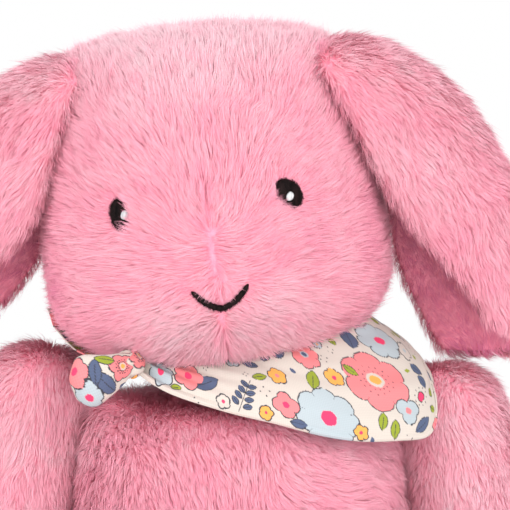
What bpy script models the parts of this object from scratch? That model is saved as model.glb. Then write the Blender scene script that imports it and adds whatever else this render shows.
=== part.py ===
"""A seated stuffed bunny with lop ears and a printed kerchief knotted at its right shoulder.

Metres, +Z up, the bunny faces -Y and its own left side is +X. The origin is on the floor under the torso.
Every sewn panel is a thin shell around its own filling. The head cocks towards the bunny's right at rest.
"""

import math

import bmesh
import bpy
from mathutils import Vector

MM = 0.001
SEAM_GAP = 0.3 * MM
FIBRE_GAP = 0.9 * MM
SKIN = 4.0 * MM
EDGE_SHARP = math.radians(50)

# head: its own frame has the neck pivot at the origin and +Z along the head's axis
NECK_PIVOT = Vector((-2 * MM, 0.0, 114 * MM))
HEAD_TILT = math.radians(-7.3)
HEAD_YAW = math.radians(-0.5)
HEAD_HALF_WIDTH = 56 * MM
HEAD_FRONT = 53 * MM
HEAD_BACK = 50 * MM
HEAD_MIDDLE = 35 * MM
HEAD_UP = 84.5 * MM
HEAD_DOWN = 30 * MM
NECK_HOLE_RADIUS = 19 * MM
FACE_SEAM = math.radians(84)
MUZZLE_HEIGHT = 38 * MM
MUZZLE_BULGE = 5 * MM

# face
EYE_OFFSET = 27.6 * MM
EYE_HEIGHT = 63 * MM
EYE_HALF_WIDTH = 4.2 * MM
EYE_HALF_HEIGHT = 5.2 * MM
HIGHLIGHT_HALF_WIDTH = 1.3 * MM
HIGHLIGHT_HALF_HEIGHT = 1.7 * MM
HIGHLIGHT_SHIFT = {"left": (-0.6 * MM, -1.6 * MM), "right": (1.9 * MM, 0.0)}
MOUTH_MIDDLE = 1.2 * MM
MOUTH_HALF_WIDTH = 8.4 * MM
MOUTH_HEIGHT = 36.6 * MM
MOUTH_DROP = 6.4 * MM
THREAD_RADIUS = 1.1 * MM

# ears: rails run from the root to the tip of the left ear, in the head's frame
EAR_HINGE = Vector((47 * MM, 1 * MM, 101 * MM))
EAR_SET = {"left": (0.0, 0.0), "right": (4 * MM, 4.5 * MM)}
EAR_TURN = {"left": 0.0, "right": math.radians(3)}
EAR_REST_HEIGHT = 60 * MM
EAR_REST = {"left": (0.0, 1.0), "right": (13 * MM, 0.63)}
EAR_THICKNESS = {"outer": 6.8 * MM, "inner": 5.0 * MM}
EAR_EDGE = 2.6 * MM

# torso
TORSO_HALF_WIDTH = 58 * MM
TORSO_FRONT = 49 * MM
TORSO_BACK = 45 * MM
TORSO_MIDDLE = 45 * MM
TORSO_UP = 63 * MM
TORSO_DOWN = 52 * MM
TORSO_TAPER = 0.12
SEAT_THICKNESS = 2.7 * MM
PELLET_TOP = 22 * MM

# limbs
SHOULDER = {"left": Vector((72 * MM, 0.0, 96.5 * MM)), "right": Vector((-69.5 * MM, 0.0, 103.5 * MM))}
ARM_RADIUS = 21 * MM
ARM_HALF_LENGTH = 47 * MM
HIP = Vector((39 * MM, -63 * MM, 21.3 * MM))
LEG_SPLAY = math.radians(12)
LEG_RADIUS = 21 * MM
LEG_HALF_LENGTH = 47 * MM

# tail, label and neck stitches
TAIL_RADIUS = 16 * MM
TAIL_HEIGHT = 30 * MM
TAIL_SINK = 1.0 * MM
TAIL_SKIN = 3 * MM
TAIL_MOUTH = 152
TAIL_RINGS = (34, 60, 84, 108, 132)
LABEL_CLOTH = 0.7 * MM
STITCH_RING_RADIUS = 19.5 * MM
STITCH_RING_DROP = 2.3 * MM
STITCH_RADIUS = 0.6 * MM

# kerchief
CLOTH = 1.6 * MM
KNOT_PLACE = Vector((-40.6 * MM, -34.0 * MM, 117.2 * MM))
KNOT_HALF_WIDTH = 5.6 * MM
KNOT_HALF_DEPTH = 5.0 * MM
KNOT_HALF_HEIGHT = 6.0 * MM
END_ARCH = 1.2 * MM

PINK = (0.93, 0.36, 0.50)
THREAD_PINK = (0.85, 0.30, 0.42)
BLACK = (0.02, 0.02, 0.025)
GREY_WHITE = (0.75, 0.78, 0.82)
CREAM = (0.92, 0.85, 0.80)
WHITE = (0.90, 0.90, 0.88)


def clear_scene():
    """Remove every object that the scene holds."""
    for item in list(bpy.data.objects):
        bpy.data.objects.remove(item, do_unlink=True)


def material(name, colour, roughness):
    """A plain material of one colour."""
    made = bpy.data.materials.get(name)
    if made is None:
        made = bpy.data.materials.new(name)
        made.use_nodes = True
        shader = made.node_tree.nodes["Principled BSDF"]
        shader.inputs["Base Color"].default_value = (*colour, 1.0)
        shader.inputs["Roughness"].default_value = roughness
        shader.inputs["Metallic"].default_value = 0.0
    return made


def pivot(name, location, rotation=(0.0, 0.0, 0.0), parent=None):
    """An empty that stands on a joint's axis and carries the pieces that turn about it."""
    empty = bpy.data.objects.new(name, None)
    bpy.context.collection.objects.link(empty)
    empty.empty_display_size = 0.01
    empty.location = location
    empty.rotation_euler = rotation
    empty.parent = parent
    return empty


def add_piece(name, rows, faces, finish, parent=None):
    """Make one mesh object from points and faces."""
    mesh = bpy.data.meshes.new(name)
    mesh.from_pydata([tuple(p) for p in rows], [], faces)
    shell = bmesh.new()
    shell.from_mesh(mesh)
    bmesh.ops.recalc_face_normals(shell, faces=shell.faces)
    if shell.calc_volume(signed=True) < 0:
        bmesh.ops.reverse_faces(shell, faces=shell.faces)
    shell.to_mesh(mesh)
    shell.free()
    mesh.shade_smooth()
    mesh.set_sharp_from_angle(angle=EDGE_SHARP)
    mesh.materials.append(finish)
    piece = bpy.data.objects.new(name, mesh)
    bpy.context.collection.objects.link(piece)
    piece.parent = parent
    return piece


def slab(name, top, bottom, finish, parent=None):
    """A sheet with thickness, between two grids of points that have the same rows and columns."""
    rows = len(top)
    columns = len(top[0])
    points = [p for row in top for p in row] + [p for row in bottom for p in row]
    lower = rows * columns

    def at(row, column, layer):
        return layer * lower + row * columns + column

    faces = []
    for row in range(rows - 1):
        for column in range(columns - 1):
            corners = ((row, column), (row, column + 1), (row + 1, column + 1), (row + 1, column))
            faces.append([at(r, c, 0) for r, c in corners])
            faces.append([at(r, c, 1) for r, c in reversed(corners)])
    rim = [(0, c) for c in range(columns)]
    rim += [(r, columns - 1) for r in range(1, rows)]
    rim += [(rows - 1, c) for c in range(columns - 2, -1, -1)]
    rim += [(r, 0) for r in range(rows - 2, 0, -1)]
    for here, there in zip(rim, rim[1:] + rim[:1]):
        faces.append([at(*here, 0), at(*here, 1), at(*there, 1), at(*there, 0)])
    return add_piece(name, points, faces, finish, parent)


def loft(name, rings, finish, parent=None):
    """A closed solid through rings of points, with a fan over each end."""
    count = len(rings[0])
    points = [p for ring in rings for p in ring]
    faces = []
    for low in range(len(rings) - 1):
        for i in range(count):
            j = (i + 1) % count
            faces.append([low * count + i, low * count + j, (low + 1) * count + j, (low + 1) * count + i])
    for ring in (0, len(rings) - 1):
        centre = sum(rings[ring], Vector()) / count
        points.append(centre)
        tip = len(points) - 1
        for i in range(count):
            faces.append([ring * count + i, ring * count + (i + 1) % count, tip])
    return add_piece(name, points, faces, finish, parent)


def smooth_rail(points, share):
    """A point on the smooth curve through some points, at a share of the way along it."""
    place = share * (len(points) - 1)
    index = min(int(place), len(points) - 2)
    t = place - index
    before = points[max(index - 1, 0)]
    start = points[index]
    end = points[index + 1]
    after = points[min(index + 2, len(points) - 1)]
    linear = (end - before) * 0.5
    square = before - start * 2.5 + end * 2.0 - after * 0.5
    cube = (start - end) * 1.5 + (after - before) * 0.5
    return start + linear * t + square * t * t + cube * t * t * t


def millimetres(*points):
    """Points given in millimetres, as vectors in metres."""
    return [Vector(p) * MM for p in points]


class Body:
    """A rounded body about an upright axis: a section at each height, closing at its top and bottom."""

    def __init__(
        self, half_width, front, back, middle, up, down, powers, taper=0.0, bend=None, swell=None, bulge=None
    ):
        self.half_width = half_width
        self.front = front
        self.back = back
        self.middle = middle
        self.up = up
        self.down = down
        self.side_power, self.top_power, self.low_power = powers
        self.taper = taper
        self.bend = bend
        self.swell = swell
        self.bulge = bulge

    def end(self, polar):
        """The reach and the roundness of the half that an angle from the top falls in."""
        if math.cos(polar) > 0:
            return self.up, self.top_power
        return self.down, self.low_power

    def point(self, azimuth, polar):
        """The surface point at an angle round from the front and an angle down from the top."""
        reach, power = self.end(polar)
        span = (abs(math.cos(polar)) ** power + abs(math.sin(polar)) ** power) ** (1 / power)
        rise = reach * math.cos(polar) / span
        spread = math.sin(polar) / span * (1 - self.taper * max(rise, 0.0) / self.up)
        if self.swell:
            spread *= self.swell(rise)
        depth = self.front if math.cos(azimuth) > 0 else self.back
        side = abs(math.sin(azimuth) / self.half_width) ** self.side_power
        side += abs(math.cos(azimuth) / depth) ** self.side_power
        radius = spread * side ** (-1 / self.side_power)
        place = Vector((radius * math.sin(azimuth), -radius * math.cos(azimuth), self.middle + rise))
        if self.bulge:
            place.y -= self.bulge(place.x, place.z) * max(math.cos(azimuth), 0.0) ** 2
        if self.bend:
            place += self.bend(rise)
        return place

    def normal(self, azimuth, polar):
        """The outward direction of the surface."""
        step = 0.004
        polar = min(max(polar, 0.02), math.pi - 0.02)
        across = self.point(azimuth + step, polar) - self.point(azimuth - step, polar)
        down = self.point(azimuth, polar + step) - self.point(azimuth, polar - step)
        return across.cross(down).normalized() * -1.0

    def inside(self, azimuth, polar, depth):
        """The point a distance under the surface."""
        return self.point(azimuth, polar) - self.normal(azimuth, polar) * depth

    def polar_at_height(self, height):
        """The angle down from the top at which the surface reaches a height."""
        rise = height - self.middle
        reach = self.up if rise > 0 else self.down
        power = self.top_power if rise > 0 else self.low_power
        lift = rise / reach
        return math.atan2((1 - abs(lift) ** power) ** (1 / power), lift)

    def polar_at_radius(self, radius, top):
        """The angle down from the top at which the side is a distance from the axis, near one end."""
        low, high = (0.0, math.pi / 2) if top else (math.pi, math.pi / 2)
        for _ in range(40):
            middle = (low + high) / 2
            place = self.point(math.pi / 2, middle)
            if self.bend:
                place -= self.bend(place.z - self.middle)
            if place.x < radius:
                low = middle
            else:
                high = middle
        return low

    def front_point(self, x, z):
        """The point on the front with a given place across and height."""
        polar = self.polar_at_height(z)
        low, high = -math.pi / 2, math.pi / 2
        for _ in range(40):
            middle = (low + high) / 2
            if self.point(middle, polar).x < x:
                low = middle
            else:
                high = middle
        return self.point(low, polar), self.normal(low, polar)


def panel(name, body, azimuths, polars, columns, rows, finish, parent=None, skin=SKIN):
    """A sewn panel: a shell over part of a body, held half a seam gap off each of its side seams."""
    first, last = azimuths
    top = []
    bottom = []
    for row in range(rows + 1):
        polar = polars[0] + (polars[1] - polars[0]) * row / rows
        reach = min((body.point(a, polar) - body.point(a + math.pi, polar)).length / 2 for a in azimuths)
        margin = math.asin(min(0.5, 0.5 * SEAM_GAP / reach))
        angles = [first + margin + (last - first - 2 * margin) * c / columns for c in range(columns + 1)]
        top.append([body.point(a, polar) for a in angles])
        bottom.append([body.inside(a, polar, skin) for a in angles])
    return slab(name, top, bottom, finish, parent)


def filling(name, body, polars, columns, rows, finish, parent=None, depth=SKIN + FIBRE_GAP):
    """Fibre filling: the body's own shape, a little smaller than the inside of its skin."""
    rings = []
    for row in range(rows + 1):
        polar = polars[0] + (polars[1] - polars[0]) * row / rows
        rings.append([body.inside(2 * math.pi * c / columns, polar, depth) for c in range(columns)])
    return loft(name, rings, finish, parent)


def muzzle(x, z):
    """How far the muzzle stands forward of the rounded face."""
    across = x / (24 * MM)
    height = (z - MUZZLE_HEIGHT) / (21 * MM)
    return MUZZLE_BULGE * math.exp(-across * across - height * height)


def head_body():
    """The outside of the head, in its own frame."""
    return Body(
        HEAD_HALF_WIDTH, HEAD_FRONT, HEAD_BACK, HEAD_MIDDLE, HEAD_UP, HEAD_DOWN, (2.1, 2.8, 2.0), bulge=muzzle
    )


def torso_body():
    """The outside of the torso, in world coordinates."""
    return Body(
        TORSO_HALF_WIDTH, TORSO_FRONT, TORSO_BACK, TORSO_MIDDLE, TORSO_UP, TORSO_DOWN,
        (2.2, 6.0, 3.2), TORSO_TAPER
    )


def build_head(parent):
    """Four fur panels, the filling, and the stitched eyes and mouth."""
    fur = material("pink_fur", PINK, 0.9)
    fibre = material("fibre", WHITE, 0.95)
    black = material("black_thread", BLACK, 0.45)
    shine = material("grey_thread", GREY_WHITE, 0.5)
    body = head_body()
    crown = body.polar_at_radius(1.2 * MM, top=True)
    neck = body.polar_at_radius(NECK_HOLE_RADIUS, top=False)
    for side, sign in (("left", 1), ("right", -1)):
        face = sorted((0.0, sign * FACE_SEAM))
        back = sorted((sign * FACE_SEAM, sign * math.pi))
        panel(f"face_panel_{side}", body, face, (crown, neck), 9, 14, fur, parent)
        panel(f"head_back_{side}", body, back, (crown, neck), 9, 12, fur, parent)
    filling("head_filling", body, (math.radians(6), neck), 20, 12, fibre, parent)
    for side, sign in (("left", 1), ("right", -1)):
        eye = (sign * EYE_OFFSET, EYE_HEIGHT)
        low, high = 0.3 * MM, 1.3 * MM
        stitched_pad(f"eye_{side}", body, eye, EYE_HALF_WIDTH, EYE_HALF_HEIGHT, low, high, black, parent)
        shift = HIGHLIGHT_SHIFT[side]
        glint = (sign * EYE_OFFSET + shift[0], EYE_HEIGHT + shift[1])
        half = (HIGHLIGHT_HALF_WIDTH, HIGHLIGHT_HALF_HEIGHT)
        stitched_pad(f"eye_highlight_{side}", body, glint, *half, 2.3 * MM, 0.5 * MM, shine, parent)
    build_mouth(body, black, parent)


def stitched_pad(name, body, centre, half_width, half_height, lift, thickness, finish, parent):
    """A patch of satin stitches: an oval pad that follows the face."""
    count = 16
    rings = []
    levels = ((0.5, 0.0), (1.0, 0.0), (1.0, 0.5), (0.85, 0.85), (0.45, 1.0))
    for share, height in levels:
        ring = []
        for i in range(count):
            turn = 2 * math.pi * i / count
            x = centre[0] + half_width * share * math.cos(turn)
            z = centre[1] + half_height * share * math.sin(turn)
            place, out = body.front_point(x, z)
            ring.append(place + out * (lift + thickness * height))
        rings.append(ring)
    return loft(name, rings, finish, parent)


def build_mouth(body, finish, parent):
    """The smile: one curved line of stitches across the centre seam."""
    steps = 14
    sides = 6
    rings = []
    for i in range(steps + 1):
        share = 2 * i / steps - 1
        x = MOUTH_MIDDLE + MOUTH_HALF_WIDTH * share
        z = MOUTH_HEIGHT - MOUTH_DROP * (1 - share * share)
        place, out = body.front_point(x, z)
        slope = 2 * MOUTH_DROP * share / MOUTH_HALF_WIDTH
        along = Vector((1.0, 0.0, slope)).normalized()
        along = (along - out * along.dot(out)).normalized()
        side = along.cross(out)
        middle = place + out * (THREAD_RADIUS + SEAM_GAP)
        radius = THREAD_RADIUS * (1 - 0.45 * share ** 6)
        turns = [2 * math.pi * s / sides for s in range(sides)]
        rings.append([middle + (side * math.cos(t) + out * math.sin(t)) * radius for t in turns])
    return loft("mouth_stitching", rings, finish, parent)


def ear_rails():
    """The left ear's front edge, its crest and its back edge, from root to tip, in the head's frame."""
    front = millimetres(
        (43.5, -23, 102), (49, -27, 88), (54.5, -25, 72), (62, -20, 54), (71, -17, 40), (81, -14, 27),
        (88, -10, 10)
    )
    crest = millimetres(
        (47, 1, 105.5), (64, 2, 99), (81, 1, 84.5), (92, 0, 65), (98, -1, 44), (99, -1, 22), (96, -1, 0)
    )
    back = millimetres(
        (43, 25, 100), (51, 31, 86), (57, 31, 70), (60, 28, 53), (61, 24, 34), (66, 17, 16), (72, 10, 0)
    )
    return front, crest, back


def resting(point, side):
    """Where the lower half of an ear lies over the arm below it, it is pushed outwards and up."""
    outward, squeeze = EAR_REST[side]
    below = max(0.0, EAR_REST_HEIGHT - point.z)
    share = below / EAR_REST_HEIGHT
    return Vector((point.x + outward * share ** 2, point.y, point.z + below * (1 - squeeze)))


def ear_point(rails, along, across):
    """A point of the ear's middle surface, from root to tip and from front edge to back edge."""
    front, crest, back = (smooth_rail(rail, along) for rail in rails)
    middle = (front + back) / 2
    turn = across * math.radians(80)
    limit = math.radians(80)
    chord = (back - front) / 2 * (math.sin(turn) / math.sin(limit))
    arch = (crest - middle) * ((math.cos(turn) - math.cos(limit)) / (1 - math.cos(limit)))
    return middle + chord + arch


def build_ear(side, sign, head):
    """An outer and an inner fur panel, sewn back to back."""
    fur = material("pink_fur", PINK, 0.9)
    rails = ear_rails()
    hinge = Vector((EAR_HINGE.x * sign, EAR_HINGE.y, EAR_HINGE.z))
    inward, upward = EAR_SET[side]
    seat = Vector((hinge.x - inward * sign, hinge.y, hinge.z + upward))
    root = pivot(f"ear_{side}_pivot", seat, (0.0, -sign * EAR_TURN[side], 0.0), head)
    rows = 11
    columns = 9
    for layer, way in (("outer", 1), ("inner", -1)):
        near = []
        far = []
        for row in range(rows + 1):
            along = row / rows
            near.append([])
            far.append([])
            for column in range(columns + 1):
                across = 2 * column / columns - 1
                place = ear_point(rails, along, across)
                step = 0.01
                run = ear_point(rails, min(along + step, 1.0), across)
                run -= ear_point(rails, max(along - step, 0.0), across)
                cross = ear_point(rails, along, across + step) - ear_point(rails, along, across - step)
                out = run.cross(cross).normalized()
                round_off = math.sqrt(max(0.0, 1 - across * across) * max(0.0, 1 - (2 * along - 1) ** 6))
                thick = EAR_EDGE + (EAR_THICKNESS[layer] * (1 - 0.3 * along) - EAR_EDGE) * round_off
                inner = place + out * (way * SEAM_GAP / 2)
                outer = place + out * (way * (SEAM_GAP / 2 + thick))
                for grid, corner in ((near, inner), (far, outer)):
                    point = resting(corner, side)
                    point = Vector((point.x * sign, point.y, point.z))
                    grid[-1].append(point - hinge)
        slab(f"ear_{side}_{layer}", far, near, fur, root)


def build_torso():
    """Front and back panels, the flat seat, the filling, the pellet bag, the tail and a blank care label."""
    fur = material("pink_fur", PINK, 0.9)
    fibre = material("fibre", WHITE, 0.95)
    cotton = material("plain_cotton", CREAM, 0.85)
    body = torso_body()
    neck = body.polar_at_radius(NECK_HOLE_RADIUS, top=True)
    foot = body.polar_at_height(SEAT_THICKNESS + SEAM_GAP)
    side = math.radians(90)
    panel("torso_front", body, (-side, side), (neck, foot), 12, 12, fur)
    panel("torso_back", body, (side, 3 * side), (neck, foot), 12, 12, fur)
    rim = [body.point(2 * math.pi * i / 28, foot) for i in range(28)]
    low = [Vector((p.x, p.y, 0.0)) for p in rim]
    high = [Vector((p.x, p.y, SEAT_THICKNESS)) for p in rim]
    loft("seat_panel", [low, high], fur)
    bag_top = body.polar_at_height(PELLET_TOP + SEAM_GAP)
    filling("torso_filling", body, (neck, bag_top), 20, 10, fibre)
    build_pellet_bag(body, cotton)


def build_pellet_bag(body, finish):
    """A flat cotton bag of plastic pellets that fills the seat."""
    rings = []
    base = SEAT_THICKNESS + 2 * SEAM_GAP
    count = 20
    levels = ((0.80, 0.0), (0.93, 0.12), (1.0, 0.45), (0.95, 0.85), (0.80, 1.0))
    for share, height in levels:
        z = base + (PELLET_TOP - base) * height
        polar = body.polar_at_height(max(z, base + 4 * MM))
        ring = []
        for i in range(count):
            place = body.inside(2 * math.pi * i / count, polar, SKIN + 3.0 * MM)
            ring.append(Vector((place.x * share, place.y * share, z)))
        rings.append(ring)
    return loft("pellet_bag", rings, finish)


def build_tail():
    """A gathered round of fur over a ball of filling, open where it is sewn to the back."""
    fur = material("pink_fur", PINK, 0.9)
    fibre = material("fibre", WHITE, 0.95)
    place = (0.0, TORSO_BACK + TAIL_RADIUS - TAIL_SINK, TAIL_HEIGHT)
    seat = pivot("tail_seat", place, (math.radians(-90), 0.0, 0.0))
    reach = TAIL_RADIUS * 0.9
    ball = Body(TAIL_RADIUS, TAIL_RADIUS, TAIL_RADIUS, 0.0, reach, reach, (2.0, 2.0, 2.0))
    count = 14
    rings = []
    for degrees in (8, *TAIL_RINGS, TAIL_MOUTH):
        rings.append([ball.point(2 * math.pi * i / count, math.radians(degrees)) for i in range(count)])
    for degrees in (TAIL_MOUTH - 1, *reversed(TAIL_RINGS), 10):
        polar = math.radians(degrees)
        rings.append([ball.inside(2 * math.pi * i / count, polar, TAIL_SKIN) for i in range(count)])
    loft("tail_cover", rings, fur, seat)
    core = (math.radians(12), math.radians(150))
    filling("tail_filling", ball, core, count, 7, fibre, seat, TAIL_SKIN + FIBRE_GAP)


def build_label():
    """A blank folded care label, caught in the left side seam near the seat."""
    cotton = material("plain_cotton", CREAM, 0.85)
    rows = []
    for out, drop in ((0.0, 0.0), (6.0, 0.6), (12.0, 2.0), (17.0, 4.4)):
        row = []
        for across in (0.0, 5.0, 10.0):
            corner = (34.0 + out * 0.75, 40.0 + out * 0.66 - across * 0.2, 14.0 + across - drop)
            row.append(Vector(corner) * MM)
        rows.append(row)
    slide = Vector((-0.66, 0.75, 0.0)) * LABEL_CLOTH
    behind = [[p + slide for p in row] for row in rows]
    return slab("care_label", rows, behind, cotton)


def build_arm(side, sign):
    """A front and a back fur panel round a stuffed core, hung from the shoulder."""
    fur = material("pink_fur", PINK, 0.9)
    fibre = material("fibre", WHITE, 0.95)
    shoulder = pivot(f"shoulder_{side}_pivot", SHOULDER[side])

    def lean(rise):
        drop = (ARM_HALF_LENGTH - rise) / (2 * ARM_HALF_LENGTH)
        return Vector((sign * 14 * MM * drop ** 1.3, -3 * MM * drop ** 3, 0.0))

    def paw(rise):
        drop = (ARM_HALF_LENGTH - rise) / (2 * ARM_HALF_LENGTH)
        return 1 - 0.06 * math.sin(math.pi * drop)

    middle = ARM_RADIUS + 0.5 * MM - ARM_HALF_LENGTH
    reach = (ARM_HALF_LENGTH, ARM_HALF_LENGTH)
    body = Body(ARM_RADIUS, ARM_RADIUS, ARM_RADIUS, middle, *reach, (2.0, 3.0, 3.0), bend=lean, swell=paw)
    ends = (body.polar_at_radius(1.2 * MM, top=True), body.polar_at_radius(1.2 * MM, top=False))
    half = math.radians(90)
    panel(f"arm_{side}_front", body, (-half, half), ends, 8, 10, fur, shoulder)
    panel(f"arm_{side}_back", body, (half, 3 * half), ends, 8, 10, fur, shoulder)
    core = (math.radians(14), math.radians(166))
    filling(f"arm_{side}_filling", body, core, 16, 9, fibre, shoulder)


def build_leg(side, sign):
    """An upper and a lower fur panel round a stuffed core, from the hip to an upturned foot."""
    fur = material("pink_fur", PINK, 0.9)
    fibre = material("fibre", WHITE, 0.95)
    place = Vector((HIP.x * sign, HIP.y, HIP.z))
    hip = pivot(f"hip_{side}_pivot", place, (math.radians(90), 0.0, sign * LEG_SPLAY))

    def foot(rise):
        share = (rise + LEG_HALF_LENGTH) / (2 * LEG_HALF_LENGTH)
        return 1 + 0.14 * share ** 3

    def lift(rise):
        share = (rise + LEG_HALF_LENGTH) / (2 * LEG_HALF_LENGTH)
        return Vector((0.0, LEG_RADIUS * 0.14 * share ** 3, 0.0))

    middle = LEG_HALF_LENGTH - LEG_RADIUS
    reach = (LEG_HALF_LENGTH, LEG_HALF_LENGTH)
    body = Body(LEG_RADIUS, LEG_RADIUS, LEG_RADIUS, middle, *reach, (2.0, 3.0, 3.0), bend=lift, swell=foot)
    ends = (body.polar_at_radius(1.2 * MM, top=True), body.polar_at_radius(1.2 * MM, top=False))
    half = math.radians(90)
    panel(f"leg_{side}_lower", body, (-half, half), ends, 8, 10, fur, hip)
    panel(f"leg_{side}_upper", body, (half, 3 * half), ends, 8, 10, fur, hip)
    core = (math.radians(14), math.radians(166))
    filling(f"leg_{side}_filling", body, core, 16, 9, fibre, hip)


def build_neck(neck):
    """The ring of closing stitches between head and torso."""
    thread = material("pink_thread", THREAD_PINK, 0.7)
    count = 24
    sides = 6
    points = []
    faces = []
    for i in range(count):
        turn = 2 * math.pi * i / count
        out = Vector((math.cos(turn), math.sin(turn), 0.0))
        for s in range(sides):
            roll = 2 * math.pi * s / sides
            reach = STITCH_RING_RADIUS + STITCH_RADIUS * math.cos(roll)
            rise = STITCH_RADIUS * math.sin(roll) - STITCH_RING_DROP
            points.append(out * reach + Vector((0, 0, rise)))
            here = i * sides + s
            beside = i * sides + (s + 1) % sides
            there = (i + 1) % count * sides
            faces.append([here, there + s, there + (s + 1) % sides, beside])
    return add_piece("neck_stitching", points, faces, thread, neck)


def build_kerchief():
    """The printed cotton kerchief: the part on the chest and left shoulder, the knot and its two ends."""
    cotton = material("printed_cotton", CREAM, 0.8)
    top = millimetres(
        (-32, -29, 117), (-20, -33, 113.5), (-5, -36, 111), (10, -37, 110.5), (24, -33, 113), (35, -24, 118),
        (43, -8, 124), (44, 13, 123), (34, 31, 120), (14, 40.5, 118.5), (-10, 41, 117.5), (-31, 32, 117),
        (-43, 14, 118.5), (-45, -8, 120)
    )
    middle = millimetres(
        (-33, -33, 117), (-20, -38, 114), (-5, -41, 111), (11, -42, 108.5), (26, -39, 107.5), (39, -31, 109),
        (48, -12, 115), (48.5, 11, 117), (38, 31, 115.5), (17, 43, 114.2), (-10, 44, 113.6), (-33, 34, 113.6),
        (-46, 15, 115.5), (-48, -7, 117)
    )
    hem = millimetres(
        (-34, -35, 115.5), (-20, -41, 113), (-4, -44, 109.5), (12, -44.5, 105.5), (27, -42.5, 101),
        (41, -36, 98),
        (50, -21, 100), (50, 7, 111.5), (41, 30, 111.5), (18, 44.5, 110), (-10, 45.5, 109.7),
        (-34, 35, 110.2),
        (-47, 15.5, 112), (-49, -6, 113.5)
    )
    rails = (top, middle, hem)
    rows = 5
    columns = 36

    def point(along, down):
        high, centre, low = (smooth_rail(rail, along) for rail in rails)
        curve = centre * 2 - (high + low) / 2
        return high * (1 - down) ** 2 + curve * (2 * down * (1 - down)) + low * down ** 2

    front = []
    behind = []
    for row in range(rows + 1):
        down = row / rows
        front.append([])
        behind.append([])
        for column in range(columns + 1):
            along = column / columns
            step = 0.01
            across = point(min(along + step, 1.0), down) - point(max(along - step, 0.0), down)
            fall = point(along, min(down + step, 1.0)) - point(along, max(down - step, 0.0))
            out = across.cross(fall).normalized() * -1.0
            place = point(along, down)
            front[-1].append(place + out * CLOTH)
            behind[-1].append(place)
    slab("kerchief", front, behind, cotton)
    build_knot(cotton)


def build_knot(cotton):
    """The knot and the two short ends that come out of it."""
    turn = (math.radians(20), math.radians(-35), math.radians(15))
    knot = pivot("knot_seat", KNOT_PLACE, turn)
    reach = (KNOT_HALF_HEIGHT, KNOT_HALF_HEIGHT)
    lump = Body(KNOT_HALF_WIDTH, KNOT_HALF_DEPTH, KNOT_HALF_DEPTH, 0.0, *reach, (2.3, 2.3, 2.3))
    rings = []
    for degrees in (10, 35, 60, 85, 110, 135, 160, 172):
        rings.append([lump.point(2 * math.pi * i / 14, math.radians(degrees)) for i in range(14)])
    loft("kerchief_knot", rings, cotton, knot)
    lower = (
        millimetres((-44.8, -38, 113.8), (-48.5, -38.5, 110), (-52, -36, 107.5)),
        millimetres((-48.6, -34.5, 121.5), (-53.3, -34, 117.5), (-56.5, -32, 112)),
    )
    upper = (
        millimetres((-46, -27, 122), (-50, -22, 125), (-56, -17, 128)),
        millimetres((-48.5, -30.5, 118), (-54, -26, 120), (-60, -21, 123)),
    )
    for name, edges in (("kerchief_end_lower", lower), ("kerchief_end_upper", upper)):
        rows = 4
        columns = 5
        front = []
        behind = []
        for row in range(rows + 1):
            start = smooth_rail(edges[0], row / rows)
            stop = smooth_rail(edges[1], row / rows)
            front.append([])
            behind.append([])
            for column in range(columns + 1):
                share = column / columns
                place = start.lerp(stop, share)
                out = Vector((-0.45, -0.85, 0.25)).normalized()
                arch = END_ARCH * math.sin(math.pi * share)
                front[-1].append(place + out * (arch + CLOTH))
                behind[-1].append(place + out * arch)
        slab(name, front, behind, cotton)


def main():
    clear_scene()
    head = pivot("head_pivot", NECK_PIVOT, (0.0, HEAD_TILT, HEAD_YAW))
    build_neck(head)
    build_head(head)
    build_torso()
    build_tail()
    build_label()
    for side, sign in (("left", 1), ("right", -1)):
        build_ear(side, sign, head)
        build_arm(side, sign)
        build_leg(side, sign)
    build_kerchief()


main()
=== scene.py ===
"""A seated pink plush bunny with a printed kerchief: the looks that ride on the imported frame."""
import math
from collections import namedtuple

import bmesh
import bpy
import numpy as np
from mathutils import Matrix, Vector
from mathutils.bvhtree import BVHTree


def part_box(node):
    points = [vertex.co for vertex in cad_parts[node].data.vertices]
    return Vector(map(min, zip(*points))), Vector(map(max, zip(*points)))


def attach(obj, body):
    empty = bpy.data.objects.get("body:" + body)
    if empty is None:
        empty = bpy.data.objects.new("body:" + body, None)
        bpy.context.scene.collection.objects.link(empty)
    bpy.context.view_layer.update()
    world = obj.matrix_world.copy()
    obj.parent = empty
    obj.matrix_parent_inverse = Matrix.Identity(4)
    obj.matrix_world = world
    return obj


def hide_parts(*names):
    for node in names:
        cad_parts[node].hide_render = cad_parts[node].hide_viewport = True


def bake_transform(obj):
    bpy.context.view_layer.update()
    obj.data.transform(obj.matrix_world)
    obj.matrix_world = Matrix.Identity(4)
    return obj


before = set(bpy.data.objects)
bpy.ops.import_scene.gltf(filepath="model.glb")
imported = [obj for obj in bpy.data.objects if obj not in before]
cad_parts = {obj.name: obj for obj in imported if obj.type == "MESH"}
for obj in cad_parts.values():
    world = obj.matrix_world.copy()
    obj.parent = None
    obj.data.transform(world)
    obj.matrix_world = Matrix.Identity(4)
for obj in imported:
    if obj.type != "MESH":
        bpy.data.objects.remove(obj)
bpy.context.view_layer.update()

MM = 0.001
SCENE = bpy.context.scene
SKIN_FLOOR, PILE_FLOOR = 0.2 * MM, 0.4 * MM  # how low the skins and the strands may reach

# the head's own frame: x to the bunny's left, y to its back, z up
NECK = np.array([-2.0, 0.0, 114.0]) * MM
HEAD_TURN = np.array(Matrix.Rotation(math.radians(-7.3), 3, "Y") @ Matrix.Rotation(math.radians(-0.5), 3, "Z"))


def head_to_world(p):
    return NECK + np.asarray(p) @ HEAD_TURN.T


def world_to_head(p):
    return (np.asarray(p) - NECK) @ HEAD_TURN


def unit(v):
    return v / np.maximum(np.linalg.norm(v, axis=-1, keepdims=True), 1e-12)


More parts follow.
